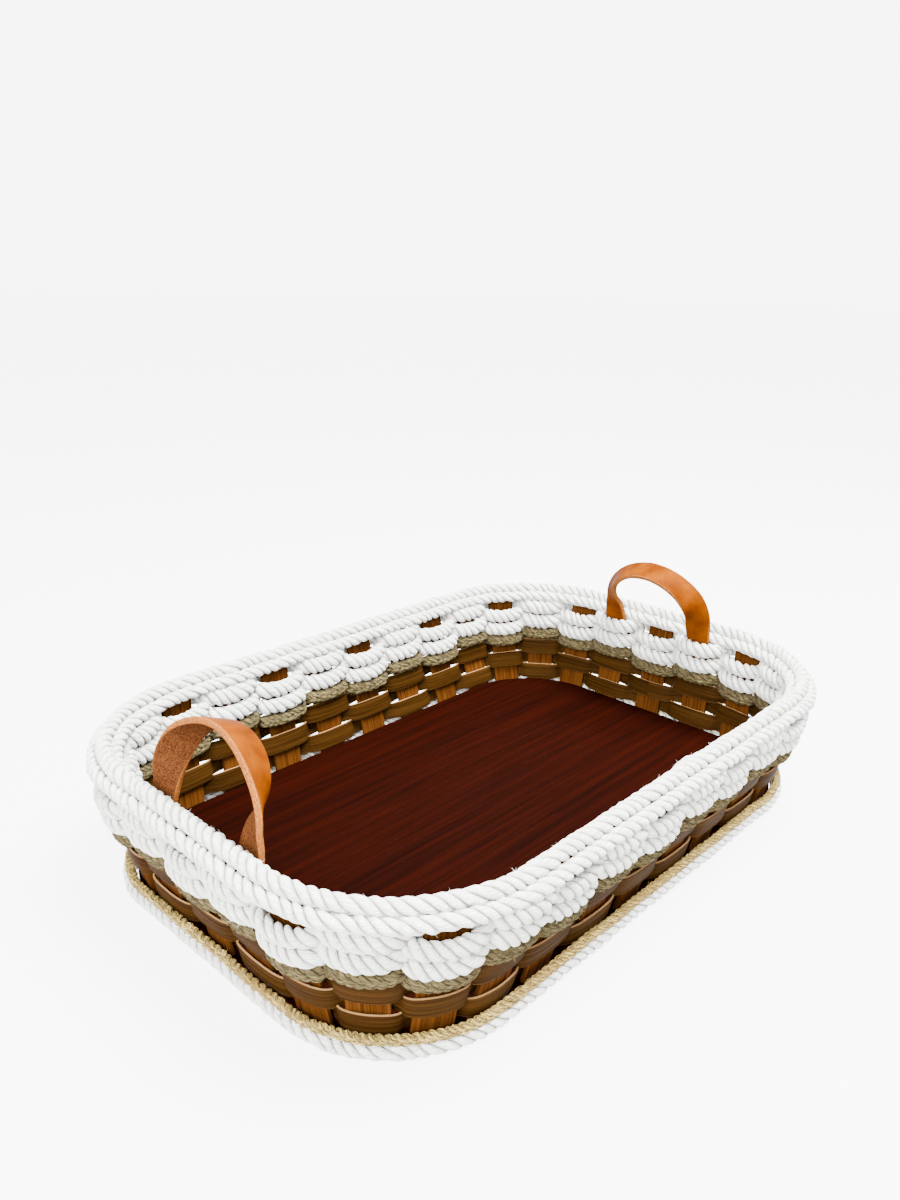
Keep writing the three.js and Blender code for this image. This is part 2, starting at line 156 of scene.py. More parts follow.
def wall_up(share):
    """The direction in which the wall leans up at a share."""
    return unit(wall_place(share, RIM_Z)[0] - wall_place(share, 0)[0])


print("round the rim:", round(4 * QUARTER_RUN), "mm")

# %% [markdown]
# ## From a grid of points to a mesh
#
# A grid has rows along the piece and columns round it. Four neighbouring points make a face, and a
# grid that closes on itself also joins its last row or column to its first. If the signed volume
# comes out negative, the faces point inwards and are turned round. Whole grids of numbers are much
# quicker than a mesh built face by face.

# %% Mesh helpers
def grid_faces(rows, columns, closed_rows):
    """Quads between neighbours (i, j), (i+1, j), (i+1, j+1), (i, j+1); columns always close."""
    i = np.arange(rows if closed_rows else rows - 1)[:, None]
    j = np.arange(columns)[None, :]
    next_i = (i + 1) % rows
    next_j = (j + 1) % columns
    corners = [i * columns + j, next_i * columns + j, next_i * columns + next_j, i * columns + next_j]
    return np.stack(np.broadcast_arrays(*corners), -1).reshape(-1, 4)


def signed_volume(points, quads):
    """Sum over each quad's two triangles of a . (b x c) / 6, positive when faces point outwards."""
    a, b, c, d = points[quads].transpose(1, 0, 2)
    return (a * (np.cross(b, c) + np.cross(c, d))).sum() / 6


def add_object(name, data):
    """An object that holds a mesh, a lamp or a camera, put into the scene."""
    made = bpy.data.objects.new(name, data)
    bpy.context.scene.collection.objects.link(made)
    return made


def set_attribute(mesh, name, values, shape):
    """Stores one number, or one vector, for each point of a grid of this shape."""
    values = np.asarray(values, np.float32)
    values = np.broadcast_to(values, (*shape, *values.shape[2:]))
    kind, field = ("FLOAT_VECTOR", "vector") if values.ndim > 2 else ("FLOAT", "value")
    mesh.attributes.new(name, kind, "POINT").data.foreach_set(field, values.ravel())


def make_piece(name, grid, closed_rows, material, slot, nodes=(), body="basket", **attributes):
    """A smooth closed piece from a grid of points in millimetres, rows by columns by 3.

    It takes the place of its CAD nodes. Each attribute is a value, or a vector, for its points.
    """
    rows, columns = grid.shape[:2]
    points = grid.reshape(-1, 3) * MM
    quads = grid_faces(rows, columns, closed_rows)
    faces = quads.tolist()
    if not closed_rows:
        faces.append(list(range(columns)))
        faces.append(list(range((rows - 1) * columns, rows * columns))[::-1])
    if signed_volume(points - points.mean(0), quads) < 0:
        faces = [face[::-1] for face in faces]
    mesh = bpy.data.meshes.new(name)
    mesh.from_pydata(points.tolist(), [], faces)
    mesh.polygons.foreach_set("use_smooth", np.ones(len(faces), bool))
    mesh.materials.append(material)
    mesh.update()
    for attribute_name, values in attributes.items():
        set_attribute(mesh, attribute_name, values, (rows, columns))
    piece = add_object(name, mesh)
    if body:
        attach(piece, body)
    if nodes:
        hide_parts(*nodes)
    return piece


# %% [markdown]
# ## Camera and lamps
#
# The camera's place comes from fitting the wall's outline to the photograph. The basket is seen
# from its front left corner, from a little over half a metre, so the near corner looks large. The
# lamps are large and soft, one above and a weaker one at the left, as in a pale studio.

# %% Camera at the photograph's angle
PHOTO_WIDTH = 900
PHOTO_HEIGHT = 1200
SENSOR = 36
FOCAL_PIXELS = 911.91
CENTRE_PIXELS = (476.68, 693.26)
CAMERA_AZIMUTH = math.radians(-47.67)
CAMERA_ELEVATION = math.radians(24.3)
CAMERA_ROLL = math.radians(1.13)
CAMERA_DISTANCE = 748.34
CAMERA_TARGET = np.array([96.75, 94.04, 30])

level = math.cos(CAMERA_ELEVATION)
back = np.array([math.sin(CAMERA_AZIMUTH) * level, -math.cos(CAMERA_AZIMUTH) * level,
                 math.sin(CAMERA_ELEVATION)])
right = unit(np.cross(-back, [0, 0, 1]))
up = np.cross(right, -back)
rolled_right = math.cos(CAMERA_ROLL) * right + math.sin(CAMERA_ROLL) * up
rolled_up = -math.sin(CAMERA_ROLL) * right + math.cos(CAMERA_ROLL) * up
turn = Matrix(np.stack([rolled_right, rolled_up, back], 1).tolist()).to_4x4()

camera_data = bpy.data.cameras.new("photo_camera")
camera_data.sensor_width = SENSOR
camera_data.lens = FOCAL_PIXELS / PHOTO_HEIGHT * SENSOR
camera_data.shift_x = (PHOTO_WIDTH / 2 - CENTRE_PIXELS[0]) / PHOTO_HEIGHT
camera_data.shift_y = (CENTRE_PIXELS[1] - PHOTO_HEIGHT / 2) / PHOTO_HEIGHT
camera_data.clip_start = 0.01
camera_place = Matrix.Translation(((CAMERA_TARGET + back * CAMERA_DISTANCE) * MM).tolist())
camera = add_object("photo_camera", camera_data)
camera.matrix_world = camera_place @ turn
bpy.context.scene.camera = camera
print("lens:", round(camera_data.lens, 2), "mm")

# %% Soft lamps
LAMP_TARGET = np.array([0, 0, 0.05])


def add_lamp(name, place, size, power):
    """A square area lamp at a place in metres, turned so that it shines on the basket."""
    data = bpy.data.lights.new(name, "AREA")
    data.size = size
    data.energy = power
    away = unit(np.array(place) - LAMP_TARGET)
    side = unit(np.cross([0.0, 1.0, 0.1], away))
    axes = np.stack([side, np.cross(away, side), away], 1)
    lamp = add_object(name, data)
    lamp.matrix_world = Matrix.Translation(place) @ Matrix(axes.tolist()).to_4x4()
    print(name, power, "W")


add_lamp("lamp_above", (0.35, -0.35, 1.5), 0.8, 270)
add_lamp("lamp_left", (-1.3, -0.5, 0.9), 0.9, 125)

# %% [markdown]
# ## Nodes in few words
#
# A material is a small net of nodes. `add_node` adds one node, sets its options, and either sets or
# links each of its inputs, so that a net reads from top to bottom like a recipe.

# %% Node helpers
SOCKET_KINDS = {1: "NodeSocketFloat", 3: "NodeSocketVector", 4: "NodeSocketColor"}


def set_inputs(tree, node, inputs):
    """Gives each named input of a node its value, or links it from an output socket."""
    for name, value in inputs.items():
        if isinstance(value, bpy.types.NodeSocket):
            tree.links.new(value, node.inputs[name])
        else:
            node.inputs[name].default_value = value


def add_node(tree, kind, inputs, **options):
    """A new node with its options and its inputs set."""
    node = tree.nodes.new(kind)
    for name, value in options.items():
        setattr(node, name, value)
    set_inputs(tree, node, inputs)
    return node


def mix_colour(tree, factor, first, second):
    """The output of a colour mix; inputs 6 and 7 are the node's two colours."""
    inputs = {0: factor, 6: first, 7: second}
    return add_node(tree, "ShaderNodeMix", inputs, data_type="RGBA").outputs[2]


def math_node(tree, operation, first, second):
    """The output of a sum on two numbers."""
    return add_node(tree, "ShaderNodeMath", {0: first, 1: second}, operation=operation).outputs[0]


def map_range(tree, value, low, high, to_low=0.0, to_high=1.0):
    """A value's share of a range, kept inside it and spread over another range."""
    inputs = {"Value": value, "From Min": low, "From Max": high, "To Min": to_low, "To Max": to_high}
    return add_node(tree, "ShaderNodeMapRange", inputs).outputs["Result"]


def scaled(tree, vector, scale):
    """A vector with each of its three parts multiplied by its own number."""
    node = add_node(tree, "ShaderNodeVectorMath", {0: vector, 1: scale}, operation="MULTIPLY")
    return node.outputs["Vector"]


def noise(tree, place, scale, detail, **others):
    """Cloudy noise, mostly between 0.3 and 0.7, at each place."""
    inputs = {"Vector": place, "Scale": scale, "Detail": detail, **others}
    return add_node(tree, "ShaderNodeTexNoise", inputs).outputs["Fac"]


def attribute(tree, name, output="Fac"):
    """A piece's own attribute: one number from Fac, or three from Vector."""
    return add_node(tree, "ShaderNodeAttribute", {}, attribute_name=name).outputs[output]


def object_place(tree):
    """The place of each point in the object's own space, in metres."""
    return add_node(tree, "ShaderNodeTexCoord", {}).outputs["Object"]


def add_bump(tree, shader, height, distance, strength):
    """Tilts the surface's normals as if a height, from 0 to 1, rose by a distance in metres."""
    inputs = {"Height": height, "Distance": distance, "Strength": strength}
    bumps = add_node(tree, "ShaderNodeBump", inputs)
    set_inputs(tree, shader, {"Normal": bumps.outputs["Normal"]})


def new_material(name):
    """An empty material with its node tree and its Principled BSDF."""
    material = bpy.data.materials.new(name)
    material.use_nodes = True
    print("material:", name)
    return material, material.node_tree, material.node_tree.nodes["Principled BSDF"]


def new_group(name, inputs, outputs):
    """A shader node group whose sockets are of their sample values' kind, and its two end nodes."""
    group = bpy.data.node_groups.new(name, "ShaderNodeTree")
    for direction, sockets in (("INPUT", inputs), ("OUTPUT", outputs)):
        for socket, value in sockets.items():
            kind = SOCKET_KINDS[np.size(value)]
            made = group.interface.new_socket(socket, in_out=direction, socket_type=kind)
            made.default_value = value
    print("node group:", name)
    return group, group.nodes.new("NodeGroupInput").outputs, group.nodes.new("NodeGroupOutput")


# %% [markdown]
# ## Two effects that several materials share
#
# Fibres: cotton, seagrass and leather all show thin threads that run one way. Noise that is
# stretched along the thread gives them. The group puts out a mask, which a material uses for both
# its colour and its bump.
#
# Grain: reed, slats and board are wood. Long streaks of light and dark carry short dark pores.
#
# Each is a node group, built once and placed in each material with its own values.

# %% Shared node groups
STREAK_RANGE = (0.32, 0.68)
PORE_STRETCH = (1.7, 5, 5)
PORE_RANGE = (0.6, 0.72)
PORE_SHARE = 0.7

fibres, given, end = new_group(
    "fibres", {"Place": (0, 0, 0), "Stretch": (1, 1, 1), "Contrast": 0.3}, {"Mask": 0})
threads = noise(fibres, scaled(fibres, given["Place"], given["Stretch"]), 1, 3, Roughness=0.6)
low = math_node(fibres, "SUBTRACT", 0.5, given["Contrast"])
high = math_node(fibres, "ADD", 0.5, given["Contrast"])
set_inputs(fibres, end, {"Mask": map_range(fibres, threads, low, high)})

grain, given, end = new_group(
    "wood_grain",
    {"Place": (0, 0, 0), "Stretch": (1, 1, 1), "Light": (0.5, 0.3, 0.1, 1),
     "Dark": (0.1, 0.05, 0.02, 1), "Pore": (0.03, 0.015, 0.01, 1)},
    {"Color": (0, 0, 0, 1), "Height": 0})
place = scaled(grain, given["Place"], given["Stretch"])
streaks = noise(grain, place, 1, 6, Roughness=0.65, Distortion=0.4)
streaks = map_range(grain, streaks, *STREAK_RANGE)
pores = map_range(grain, noise(grain, scaled(grain, place, PORE_STRETCH), 1, 2), *PORE_RANGE)
wood = mix_colour(grain, streaks, given["Dark"], given["Light"])
wood = mix_colour(grain, math_node(grain, "MULTIPLY", pores, PORE_SHARE), wood, given["Pore"])
set_inputs(grain, end, {"Color": wood, "Height": math_node(grain, "SUBTRACT", streaks, pores)})


def fibre_mask(tree, place, stretch, contrast):
    """The mask of the fibres group, placed in a material."""
    inputs = {"Place": place, "Stretch": stretch, "Contrast": contrast}
    return add_node(tree, "ShaderNodeGroup", inputs, node_tree=fibres).outputs["Mask"]


def grain_of(tree, place_name, stretch, light, dark, pore):
    """The colour and the height of the grain group, placed in a material."""
    inputs = {"Place": attribute(tree, place_name, "Vector"), "Stretch": stretch,
              "Light": light, "Dark": dark, "Pore": pore}
    outputs = add_node(tree, "ShaderNodeGroup", inputs, node_tree=grain).outputs
    return outputs["Color"], outputs["Height"]


# %% [markdown]
# ## Cotton and seagrass
#
# A rope's own attributes carry its material, because a pattern in the object's own space would cut
# straight through the turns of its strands. `rope_place` is the distance along the rope and the
# place across it, in millimetres, so stretched noise gives yarns that run with the rope. The shade
# attribute is painted shade: it is 0 on a strand's crown and 1 in the valley between two strands,
# where the colour is darkened towards the valley colour. It is also 1 where a plait's strand goes
# under another, on the side that is hidden.

# %% Rope materials
THREAD_CONTRAST = 0.13
FINE_THREADS = 2.6
FINE_CONTRAST = 0.25
FINE_HEIGHT = 0.5
STAIN_SCALE = 22
STAIN_RANGE = (0.5, 0.75)
ROPE_ROUGHNESS = 0.88


def rope_material(name, crown, valley, stain, thread_share, stain_share, stretch, bump, gloss):
    """Colour from crown to valley, darker threads, soft stains by place, and a thread bump."""
    material, tree, shader = new_material(name)
    place = attribute(tree, "rope_place", "Vector")
    threads = fibre_mask(tree, place, stretch, THREAD_CONTRAST)
    fine = fibre_mask(tree, place, tuple(FINE_THREADS * s for s in stretch), FINE_CONTRAST)
    # Painted shade: the colour darkens towards the valley colour in the grooves between strands and
    # where a plaited strand goes under another.
    colour = mix_colour(tree, attribute(tree, "groove"), crown, valley)
    colour = mix_colour(tree, math_node(tree, "MULTIPLY", threads, thread_share), colour, valley)
    patches = noise(tree, object_place(tree), STAIN_SCALE, 2)
    patches = map_range(tree, patches, *STAIN_RANGE, 0, stain_share)
    height = math_node(tree, "ADD", threads, math_node(tree, "MULTIPLY", fine, FINE_HEIGHT))
    add_bump(tree, shader, height, bump, 0.9)
    set_inputs(tree, shader, {
        "Base Color": mix_colour(tree, patches, colour, stain), "Roughness": ROPE_ROUGHNESS,
        "Specular IOR Level": gloss, "Sheen Weight": gloss})
    return material


cotton_look = rope_material(
    "cotton_rope", crown=(0.95, 0.945, 0.9, 1), valley=(0.11, 0.105, 0.07, 1),
    stain=(0.78, 0.76, 0.62, 1), thread_share=0.22, stain_share=0.35, stretch=(0.12, 0.95, 0.95),
    bump=0.0015, gloss=0.2)
SEAGRASS_FINISH = {"thread_share": 0.85, "stain_share": 0.5, "stretch": (0.25, 1.5, 1.5),
                   "bump": 0.0013, "gloss": 0.02}
seagrass_look = rope_material(
    "seagrass", crown=(0.175, 0.135, 0.058, 1), valley=(0.01, 0.0066, 0.0024, 1),
    stain=(0.065, 0.046, 0.019, 1), **SEAGRASS_FINISH)
pale_seagrass_look = rope_material(
    "pale_seagrass", crown=(0.66, 0.47, 0.14, 1), valley=(0.035, 0.018, 0.004, 1),
    stain=(0.3, 0.175, 0.05, 1), **SEAGRASS_FINISH)

# %% [markdown]
# ## Twisted rope
#
# A laid rope is three strands wound round each other. Cut across, it is three round lobes, and the
# lobes turn with the distance along the rope. The grid's columns turn with them, so a column lies
# in every valley and each valley stays sharp. Three tubes would look the same, with half of their
# faces hidden inside. All ropes here are right-laid: their strands climb like the stroke of a Z.
#
# Where a rope is woven it isn't round. It spreads over a stake and is squashed between two, and its
# strands crowd together, so the lay is shorter than in the ropes that bind the edges.

# %% Measures along a path
RIPPLE_WAVES = 24
MEASURES_PER_STAKE = 60


def ripple(share, seed, slowest, fastest):
    """A closed random curve between about -1 and 1: a sum of whole waves with random phases."""
    random = np.random.default_rng(seed)
    count = random.integers(slowest, fastest, RIPPLE_WAVES)
    phase = random.uniform(0, 2 * math.pi, RIPPLE_WAVES)
    waves = np.cos(2 * math.pi * count * share[:, None] + phase)
    return waves.sum(1) / math.sqrt(RIPPLE_WAVES)


def lengths_along(points):
    """The length of a line from its first point to each point: the running sum of its steps."""
    return np.concatenate([[0], np.cumsum(np.linalg.norm(np.diff(points, axis=0), axis=1))])


def even_shares(path, step):
    """Shares that are evenly spaced on a closed path, their distances, and the path's length.

    The path is measured at many shares, and the table of length against share is read backwards.
    """
    shares = np.linspace(0, 1, STAKE_COUNT * MEASURES_PER_STAKE + 1)
    lengths = lengths_along(path(shares))
    count = int(round(lengths[-1] / step))
    distance = np.arange(count) / count * lengths[-1]
    return np.interp(distance, lengths, shares), distance, lengths[-1]


def path_axes(points, ups):
    """Directions across and up, both square to a closed path; across x up runs along the path."""
    along = unit(np.roll(points, -1, 0) - np.roll(points, 1, 0))
    across = unit(np.cross(ups, along))
    return across, np.cross(along, across)


def sweep(points, a, a_axes, b, b_axes):
    """A section carried along a path: each point + a times one direction + b times the other."""
    return points[:, None] + a[..., None] * a_axes[:, None] + b[..., None] * b_axes[:, None]


def section_place(distance, a, b):
    """The distance along a piece and the place in its section, for a pattern that runs with it."""
    return np.stack([np.broadcast_to(distance[:, None], a.shape), a, b], -1)


# %% Rope surfaces
STATION_STEP = 1.0
TWIST_UNEVENNESS = 0.45
STRAND_UNEVENNESS = 0.06

# Strands, lay, the columns' places across one strand, how far its crown drops, its groove's depth
WIDE_STRAND = np.array([-1, -0.9, -0.7, -0.4, -0.13, 0.13, 0.4, 0.7, 0.9])
THIN_STRAND = np.array([-1, -0.75, -0.3, 0.3, 0.75])
EDGE_ROPE = (3, 22, WIDE_STRAND, 0.23, 0.16)
WOVEN_ROPE = (3, 18.5, WIDE_STRAND, 0.23, 0.16)
SEAGRASS_YARN = (4, 20, THIN_STRAND, 0.05, 0.08)


def lobe_radius(v, crown_drop, groove_depth):
    """Radius of a bundle of strands, 1 on a crown: 1 - crown_drop v^2 - groove_depth v^8.

    v runs from -1 to 1 across one strand. The square rounds its crown, and the eighth power cuts a
    narrow groove to the next strand, as where soft strands press together.
    """
    return 1 - crown_drop * v**2 - groove_depth * v**8


def rope(name, node, path, size, material, slot, kind, seed, sway=None):
    """A rope along a closed path.

    path(share) gives points, and size(share) gives the depth across and the height of the section.
    At angle a the surface is point + depth/2 R cos(a) across + height/2 R sin(a) up, where R is the
    lobe radius at a's place v across its strand, and the strands turn once in every lay. A strand
    is a little thicker in some places than in others. The shade attribute, v^6, is painted shade in
    the grooves between strands. sway(share), from -1 inside to 1 outside, tells where a plait's
    strand goes under another: painted shade falls on its inner side when it sways out, and on its
    outer side when it sways in, by (sway cos a)^2.
    """
    strands, lay, steps, crown_drop, groove_depth = kind
    shares, distance, length = even_shares(path, STATION_STEP)
    points = path(shares)
    across, upward = path_axes(points, wall_up(shares))
    depth, height = size(shares)
    turns = round(length / lay)
    twist = 2 * math.pi * turns * np.arange(len(shares)) / len(shares)
    twist = twist + TWIST_UNEVENNESS * ripple(shares, seed, 2, 60)
    v = np.tile(steps, strands)
    strand = np.repeat(np.arange(strands), len(steps))
    swell = np.stack([ripple(shares, seed + 1 + k, 20, 260) for k in range(strands)], 1)
    radius = lobe_radius(v, crown_drop, groove_depth) * (1 + STRAND_UNEVENNESS * swell[:, strand])
    angle = twist[:, None] + (strand + v / 2) * 2 * math.pi / strands
    sideways = depth[:, None] / 2 * radius * np.cos(angle)
    upwards = height[:, None] / 2 * radius * np.sin(angle)
    grid = sweep(points, sideways, across, upwards, upward)
    # Painted shade mask: v^6 darkens the grooves between strands, and (sway cos a)^2 darkens the
    # hidden side of a plaited strand.
    groove = v**6
    if sway:
        groove = np.maximum(groove, np.clip(sway(shares)[:, None] * np.cos(angle), 0, 1) ** 2)
    make_piece(name, grid, True, material, slot, [node], groove=groove,
               rope_place=section_place(distance, sideways, upwards))
    print(name, round(length), "mm long,", turns, "turns,", grid[..., 0].size, "points")
    return grid


# %% [markdown]
# ## Plaited seagrass
#
# The seagrass is a plait of three thin strands, so its two edges show small knobs in turn. One
# lobed tube can't show strands that change sides, so each strand is a rope of its own. It swings
# about the cord's path once up and down in each plait length, and twice in and out, which carries
# it over one neighbour and under the next.

# %% Plaits
PLAIT_STRANDS = 3
PLAIT_UNEVENNESS = 0.5
STRAND_SHARE = 0.56


def plait(name, node, path, size, plait_length, material, seed):
    """Three strands round one closed path, which all stand for the same solid.

    With thickness d, a strand swings by (height - d)/2 cos(t) up and by (depth - d)/2 sin(2t) out.
    t grows by a full turn in every plait length, and by a third of a turn from strand to strand.
    """
    turns = round(even_shares(path, STATION_STEP)[2] / plait_length)

    def strand(number):
        def swing(share):
            evenly = 2 * math.pi * turns * share + PLAIT_UNEVENNESS * ripple(share, seed, 5, 90)
            return evenly + 2 * math.pi * number / PLAIT_STRANDS

        def sway(share):
            return np.sin(2 * swing(share))

        def strand_path(share):
            depth, height = size(share)
            thickness = STRAND_SHARE * height
            outward = (depth - thickness) / 2 * sway(share)
            upward = (height - thickness) / 2 * np.cos(swing(share))
            normal = wall_place(share, RIM_Z)[1]
            return path(share) + outward[:, None] * normal + upward[:, None] * wall_up(share)

        def strand_size(share):
            return [STRAND_SHARE * size(share)[1]] * 2

        return rope(f"{name}_{number + 1}", node, strand_path, strand_size, material, "seagrass",
                    SEAGRASS_YARN, seed + 40 * number, sway)

    return [strand(number) for number in range(PLAIT_STRANDS)]


# %% [markdown]
# ## Weaving
#
# A woven row goes out over one stake and in behind the next. Its distance from the wall is a
# rounded bump over each stake, (1 - x^2)(1 + c) / (1 - x^2 + c), where x runs from -1 to 1 between
# the two spaces beside the stake. With a small c the row comes out of the space steeply and lies
# nearly flat over the stake, as stiff rope does. Each bump's size and height are a little uneven.

# %% The path of a woven row
BUMP_ROUNDNESS = 0.5
PUSH_RANGE = (0.96, 1.06)
LIFT_RANGE = (-0.35, 0.35)
STRAP_STAKES = ((1, 33), (16, 18))


def stake_phase(share):
    """The nearest stake's number, and x from -1 to 1 across its part of the wall."""
    position = np.mod(share, 1) * STAKE_COUNT
    stake = np.round(position).astype(int)
    return stake % STAKE_COUNT, 2 * (position - stake)


def stake_offsets(parity, plain, on_strap, seed):
    """How far each stake pushes a row out of the wall: positive outside, negative inside.

    on_strap is the push where the row passes over a strap's foot, at the right and the left end.
    """
    random = np.random.default_rng(seed)
    outside = np.arange(STAKE_COUNT) % 2 == parity
    offsets = np.where(outside, plain, -plain) * random.uniform(*PUSH_RANGE, STAKE_COUNT)
    for stakes, push in zip(STRAP_STAKES, on_strap):
        for stake in stakes:
            if not outside[stake]:
                offsets[stake] = -push
    return offsets


def woven_path(crossing_z, drop, parity, plain, on_strap, seed):
    """A row's path: the wall's place at each height, moved out by the bump over its stake.

    The row sinks over a stake by its drop, less the stake's own lift, times 1 - x^2.
    """
    offsets = stake_offsets(parity, plain, on_strap, seed)
    lift = np.random.default_rng(seed + 10).uniform(*LIFT_RANGE, STAKE_COUNT)

    def path(share):
        stake, x = stake_phase(share)
        room = 1 - x**2
        z = crossing_z + (lift[stake] - drop) * room
        point, normal = wall_place(share, z)
        bump = room * (1 + BUMP_ROUNDNESS) / (room + BUMP_ROUNDNESS)
        return point + (offsets[stake] * bump)[..., None] * normal

    return path


def woven_size(hump, crossing):
    """A row's depth and height: crossing + (hump - crossing)(1 - x^8), the hump over a stake."""

    def size(share):
        spread = 1 - stake_phase(share)[1] ** 8
        return tuple(c + (h - c) * spread for h, c in zip(hump, crossing))

    return size


# %% [markdown]
# ## The cotton and seagrass rows
#
# Four rows of cotton rope make the upper half of the wall, over two seagrass plaits. At a stake that
# carries a handle the cotton also passes over leather and a rivet, so it stands further in there.

# %% Cotton and seagrass rows
COTTON_ROW_Z = (60.1, 66.3, 72.5, 78.7)
COTTON_DROP = (1.7, 2.1, 2.7, 2.1)
COTTON_PUSH = 7.9
COTTON_ON_STRAP = ((12.9, 12.9), (12.9, 12.9), (13.2, 14.3), (14.6, 14.6))
COTTON_HUMP_DEPTH = 8.6
COTTON_HUMP_HEIGHT = (11.4, 12.2, 11.2, 12)
COTTON_CROSSING = (7.6, 9.2)
SEAGRASS_ROW_Z = (49.15, 54.37)
SEAGRASS_DROP = 1.2
SEAGRASS_PUSH = 6.7
SEAGRASS_ON_STRAP = (11, 11)
SEAGRASS_HUMP = (7, 9.8)
SEAGRASS_CROSSING = (6, 7.6)
ROW_PLAIT_LENGTH = 15
cotton_grids = []
seagrass_grids = []

for row, crossing_z in enumerate(COTTON_ROW_Z):
    node = f"cotton_row_{row + 1}"
    path = woven_path(crossing_z, COTTON_DROP[row], (row + 1) % 2, COTTON_PUSH, COTTON_ON_STRAP[row],
                      100 + row)
    size = woven_size((COTTON_HUMP_DEPTH, COTTON_HUMP_HEIGHT[row]), COTTON_CROSSING)
    grid = rope(f"{node}_strands", node, path, size, cotton_look, "cotton_rope", WOVEN_ROPE, 120 + row)
    cotton_grids.append(grid)

for row, crossing_z in enumerate(SEAGRASS_ROW_Z):
    node = f"seagrass_row_{row + 1}"
    path = woven_path(crossing_z, SEAGRASS_DROP, (row + 1) % 2, SEAGRASS_PUSH, SEAGRASS_ON_STRAP,
                      200 + row)
    size = woven_size(SEAGRASS_HUMP, SEAGRASS_CROSSING)
    seagrass_grids += plait(f"{node}_strand", node, path, size, ROW_PLAIT_LENGTH, seagrass_look,
                            220 + row)

# %% [markdown]
# ## Ropes along the edges
#
# Three ropes bind the rim: one outside the stakes, one inside and one on top of both. Two more lie
# round the foot. They don't weave, so their path is the wall's outline moved sideways. The inner
# rim rope starts and ends on the front side, where its two ends make a small lump.

# %% Rim and foot ropes
TOP_ROPE_Z = 91.81
FOOT_COTTON_Z = 4.8
FOOT_SEAGRASS_Z = 11.5
FOOT_SEAGRASS_FULLNESS = 1.06
FOOT_PLAIT_LENGTH = 14
EDGE_WAVER = 0.25
SPLICE_SHARE = 0.762
SPLICE_SPREAD = 0.009


def edge_path(offset, z, seed):
    """The wall's outline at a height, moved out by an offset, with a slight waver."""

    def path(share):
        point, normal = wall_place(share, min(z, RIM_Z))
        point = point + (offset + EDGE_WAVER * ripple(share, seed, 5, 40))[:, None] * normal
        point[:, 2] = z + EDGE_WAVER * ripple(share, seed + 1, 5, 40)
        return point

    return path


def edge_size(diameter, splice=0.0):
    """A round section, thicker by a bell curve e^(-d^2) about the splice, d in spreads from it."""

    def size(share):
        thicker = 1 + splice * np.exp(-((share - SPLICE_SHARE) / SPLICE_SPREAD) ** 2)
        return diameter * thicker, diameter * thicker

    return size


for name, offset, z, fullness, splice, seed in (
    ("rim_rope_outer", EDGE_OFFSET, RIM_Z, 1.1, 0, 300),
    ("rim_rope_inner", -EDGE_OFFSET, RIM_Z, 1.1, 0.35, 310),
    ("rim_rope_top", 0, TOP_ROPE_Z, 1.16, 0, 320),
    ("foot_cotton_rope", FOOT_FACE + GAP + COTTON_DIAMETER / 2, FOOT_COTTON_Z, 1.04, 0, 330),
):
    size = edge_size(COTTON_DIAMETER * fullness, splice)
    grid = rope(f"{name}_strands", name, edge_path(offset, z, seed), size, cotton_look, "cotton_rope",
                EDGE_ROPE, seed + 5)
    cotton_grids.append(grid)

path = edge_path(FOOT_FACE + GAP + FOOT_SEAGRASS_DIAMETER / 2, FOOT_SEAGRASS_Z, 340)
size = edge_size(FOOT_SEAGRASS_DIAMETER * FOOT_SEAGRASS_FULLNESS)
seagrass_grids += plait("foot_seagrass_strand", "foot_seagrass_rope", path, size, FOOT_PLAIT_LENGTH,
                        pale_seagrass_look, 345)

# %% [markdown]
# ## Lint
#
# Soft rope sheds short hairs. Blender's own hair isn't a mesh and would be lost in the exported
# model, so each hair is a thin three-sided tube that starts on a rope and bends as it leaves it:
# p(s) = root + L (s d + s^2 e / 2), with s from 0 to 1.

# %% Loose hairs
HAIR_LEVELS = np.array([0, 0.35, 0.7, 1])
HAIR_SIDES = 3
HAIR_CLEARANCE = 0.3
HAIR_LENGTH = 2.4
HAIR_SHORTEST = 0.3
HAIR_RADIUS = 0.07
HAIR_TAPER = 0.7
HAIR_SPREAD = 0.8
ROOT_DEPTH = 0.2


